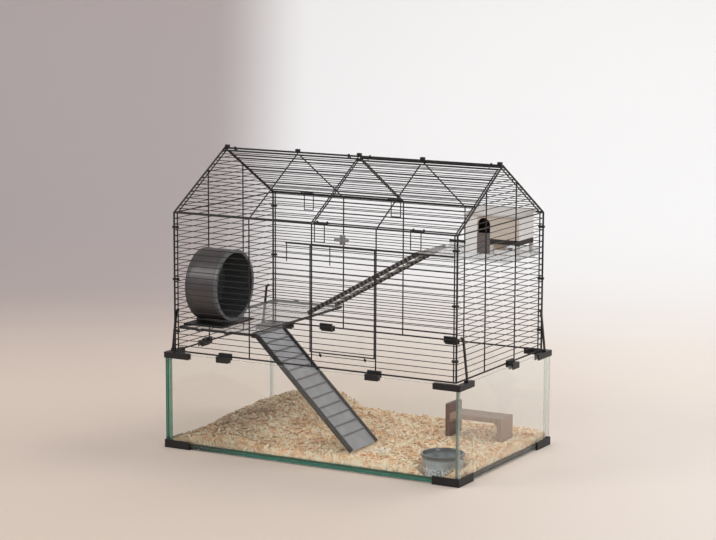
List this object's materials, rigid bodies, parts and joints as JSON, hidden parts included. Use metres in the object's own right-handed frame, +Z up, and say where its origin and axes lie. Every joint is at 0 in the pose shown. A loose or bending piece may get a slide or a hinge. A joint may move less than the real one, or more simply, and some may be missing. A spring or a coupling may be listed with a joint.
{
  "type": "hamster cage",
  "caption": "Small-pet cage: a glass base under a lift-off black wire house with hinged roof lids, a drop-down door, a running wheel, shelves, ramps, a hide and a bowl.",
  "frame": {"origin": "centre of the glass base's outline, on the surface that it stands on", "axes": "+X along the long side towards the raised shelf, +Y from the door side to the back, +Z up"},
  "size_m": [0.6044, 0.3744, 0.541],
  "materials": {
    "glass": "clear float glass, green at the edges",
    "silicone": "clear silicone",
    "black_plastic": "satin black",
    "black_wire": "black powder coat",
    "shelf_plastic": "clear acrylic sheet",
    "ramp_plastic": "satin blue-grey",
    "ladder_plastic": "satin dark grey",
    "wheel_plastic": "dark smoky grey",
    "axle_steel": "drawn",
    "hut_board": "pale painted board",
    "hut_roof_board": "pale board",
    "hide_wood": "oiled plywood",
    "bowl_ceramic": "glazed dark grey",
    "shavings": "loose wood shavings"
  },
  "bodies": {
    "tank": {"glass_floor": "glass", "glass_front": "glass", "glass_back": "glass", "glass_left": "glass", "glass_right": "glass", "silicone_seams": "silicone", "foot_front_left": "black_plastic", "foot_back_left": "black_plastic", "foot_front_right": "black_plastic", "foot_back_right": "black_plastic", "cap_front_left": "black_plastic", "cap_back_left": "black_plastic", "cap_front_right": "black_plastic", "cap_back_right": "black_plastic", "bedding": "shavings"},
    "wire_house": {"wall_back": "black_wire", "wall_front": "black_wire", "gable_left": "black_wire", "gable_right": "black_wire", "ridge_rail": "black_wire", "roof_panel_front": "black_wire", "roof_panel_back": "black_wire", "ridge_knobs": "black_plastic", "corner_ties": "black_plastic", "rim_clip_front_left": "black_plastic", "rim_clip_front_right": "black_plastic", "rim_clip_back_left": "black_plastic", "rim_clip_back_right": "black_plastic", "rim_clip_left": "black_plastic", "rim_clip_right": "black_plastic", "door_latch_plate": "black_plastic", "lower_platform": "shelf_plastic", "upper_shelf": "shelf_plastic", "wheel_stand": "black_plastic", "wheel_axle": "axle_steel", "wheel_axle_cap": "black_plastic", "hut_walls": "hut_board", "hut_roof": "hut_roof_board"},
    "lid_front": {"roof_lid_front": "black_wire"},
    "lid_back": {"roof_lid_back": "black_wire"},
    "latch_front_near": {"latch_front_near": "black_wire"},
    "latch_front_far": {"latch_front_far": "black_wire"},
    "latch_back_near": {"latch_back_near": "black_wire"},
    "latch_back_far": {"latch_back_far": "black_wire"},
    "door": {"front_door": "black_wire"},
    "door_button": {"door_turn_button": "black_plastic"},
    "clamp_left_front": {"clamp_left_front": "black_plastic"},
    "clamp_left_back": {"clamp_left_back": "black_plastic"},
    "clamp_right_front": {"clamp_right_front": "black_plastic"},
    "clamp_right_back": {"clamp_right_back": "black_plastic"},
    "wheel": {"wheel_drum": "wheel_plastic"},
    "ramp": {"lower_ramp": "ramp_plastic"},
    "ladder": {"upper_ladder": "ladder_plastic"},
    "hide": {"wood_hide": "hide_wood"},
    "bowl": {"food_bowl": "bowl_ceramic"}
  },
  "joints": [
    {"name": "house_lift", "type": "slide", "parent": "tank", "child": "wire_house", "axis": [0, 0, 1], "range_m": [0, 0.25]},
    {"name": "lid_front_hinge", "type": "hinge", "parent": "wire_house", "child": "lid_front", "pos_m": [0, 0, 0.535], "axis": [-1, 0, 0], "range_deg": [0, 215]},
    {"name": "lid_back_hinge", "type": "hinge", "parent": "wire_house", "child": "lid_back", "pos_m": [0, 0, 0.535], "axis": [1, 0, 0], "range_deg": [0, 215]},
    {"name": "latch_front_near_swing", "type": "hinge", "parent": "lid_front", "child": "latch_front_near", "pos_m": [0.02, -0.16753, 0.43565], "axis": [-1, 0, 0], "range_deg": [0, 130]},
    {"name": "latch_front_far_swing", "type": "hinge", "parent": "lid_front", "child": "latch_front_far", "pos_m": [0.21, -0.16753, 0.43565], "axis": [-1, 0, 0], "range_deg": [0, 130]},
    {"name": "latch_back_near_swing", "type": "hinge", "parent": "lid_back", "child": "latch_back_near", "pos_m": [-0.02, 0.16753, 0.43565], "axis": [1, 0, 0], "range_deg": [0, 130]},
    {"name": "latch_back_far_swing", "type": "hinge", "parent": "lid_back", "child": "latch_back_far", "pos_m": [-0.21, 0.16753, 0.43565], "axis": [1, 0, 0], "range_deg": [0, 130]},
    {"name": "door_hinge", "type": "hinge", "parent": "wire_house", "child": "door", "pos_m": [0.0645, -0.172, 0.20017], "axis": [1, 0, 0], "range_deg": [0, 120]},
    {"name": "button_turn", "type": "hinge", "parent": "wire_house", "child": "door_button", "pos_m": [0.0645, -0.1781, 0.40919], "axis": [0, -1, 0], "range_deg": [0, 90]},
    {"name": "clamp_left_front_swing", "type": "hinge", "parent": "wire_house", "child": "clamp_left_front", "pos_m": [-0.287, -0.162, 0.25308], "axis": [0, 1, 0], "range_deg": [0, 120]},
    {"name": "clamp_left_back_swing", "type": "hinge", "parent": "wire_house", "child": "clamp_left_back", "pos_m": [-0.287, 0.153, 0.25308], "axis": [0, 1, 0], "range_deg": [0, 120]},
    {"name": "clamp_right_front_swing", "type": "hinge", "parent": "wire_house", "child": "clamp_right_front", "pos_m": [0.287, -0.153, 0.25308], "axis": [0, -1, 0], "range_deg": [0, 120]},
    {"name": "clamp_right_back_swing", "type": "hinge", "parent": "wire_house", "child": "clamp_right_back", "pos_m": [0.287, 0.162, 0.25308], "axis": [0, -1, 0], "range_deg": [0, 120]},
    {"name": "wheel_spin", "type": "hinge", "parent": "wire_house", "child": "wheel", "pos_m": [-0.238, -0.097, 0.29553], "axis": [1, 0, 0], "continuous": true},
    {"name": "ramp_lift", "type": "hinge", "parent": "wire_house", "child": "ramp", "pos_m": [-0.1245, -0.111, 0.22003], "axis": [0, -1, 0], "range_deg": [0, 60]},
    {"name": "ladder_lift", "type": "hinge", "parent": "wire_house", "child": "ladder", "pos_m": [0.0945, 0.0985, 0.35762], "axis": [0, 1, 0], "range_deg": [0, 45]},
    {"name": "hide_lift", "type": "slide", "parent": "tank", "child": "hide", "axis": [0, 0, 1], "range_m": [0, 0.08]},
    {"name": "bowl_lift", "type": "slide", "parent": "tank", "child": "bowl", "axis": [0, 0, 1], "range_m": [0, 0.1]}
  ]
}
